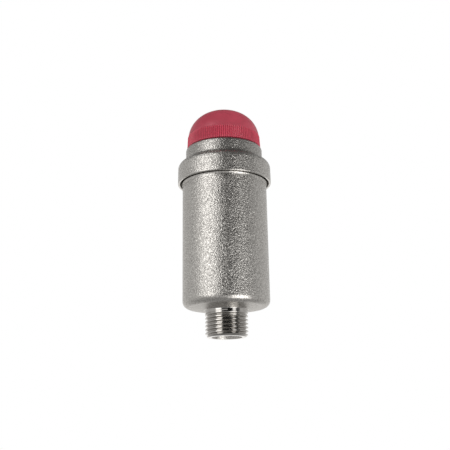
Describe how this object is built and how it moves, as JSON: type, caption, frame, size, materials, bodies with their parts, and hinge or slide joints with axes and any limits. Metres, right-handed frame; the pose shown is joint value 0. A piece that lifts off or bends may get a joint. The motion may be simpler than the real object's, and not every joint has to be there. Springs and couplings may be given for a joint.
{
  "type": "automatic air vent",
  "caption": "Automatic float air vent: blasted nickel-plated chamber, screwed cover, ribbed red dome cap and a G 1/2 male inlet spigot.",
  "frame": {"origin": "centre of the inlet spigot's end face", "axes": "+Z along the vent's axis, from the spigot up to the cap; the float's lever lies in the XZ plane"},
  "size_m": [0.0474, 0.0474, 0.1173],
  "materials": {
    "nickel_plate": "blasted, nickel plated",
    "turned_brass": "turned, bright",
    "stainless": "brushed",
    "red_plastic": "satin moulded",
    "rubber": "matt",
    "float_plastic": "satin moulded"
  },
  "bodies": {
    "housing": {"body": "nickel_plate", "cover": "nickel_plate", "cover_o_ring": "rubber", "vent_nozzle": "turned_brass", "nozzle_o_ring": "rubber", "lever_bracket": "stainless", "bracket_screw_1": "stainless", "bracket_washer_1": "stainless", "bracket_screw_2": "stainless", "bracket_washer_2": "stainless", "lever_pivot_pin": "stainless", "pivot_clip": "stainless", "return_spring": "stainless"},
    "float": {"float_shell": "float_plastic", "float_base": "float_plastic", "float_hook": "stainless", "hook_screw": "stainless"},
    "lever": {"lever_arm": "stainless"},
    "valve": {"valve_stem": "turned_brass", "valve_pad": "rubber"},
    "cap_disc": {"cap_seal": "rubber"},
    "cap": {"red_cap": "red_plastic"}
  },
  "joints": [
    {"name": "float_rise", "type": "slide", "parent": "housing", "child": "float", "axis": [0, 0, 1], "range_m": [0, 0.006]},
    {"name": "lever_tilt", "type": "hinge", "parent": "housing", "child": "lever", "pos_m": [-0.009, 0, 0.0746], "axis": [0, -1, 0], "range_deg": [0, 18.7]},
    {"name": "valve_stroke", "type": "slide", "parent": "housing", "child": "valve", "axis": [0, 0, 1], "range_m": [0, 0.00315], "stiffness_N_per_m": 12, "springref_m": -0.002, "deforming": ["return_spring"]},
    {"name": "cap_lift", "type": "slide", "parent": "housing", "child": "cap_disc", "axis": [0, 0, 1], "range_m": [0, 0.00301]},
    {"name": "cap_turn", "type": "hinge", "parent": "cap_disc", "child": "cap", "pos_m": [0, 0, 0.0968], "axis": [0, 0, 1], "range_deg": [0, 720]}
  ],
  "couplings": [
    {"joint": "lever_tilt", "follows": "float_rise", "rad_per_m": 54.054},
    {"joint": "valve_stroke", "follows": "float_rise", "ratio": 0.52},
    {"joint": "cap_lift", "follows": "cap_turn", "m_per_rad": 0.00023873}
  ]
}
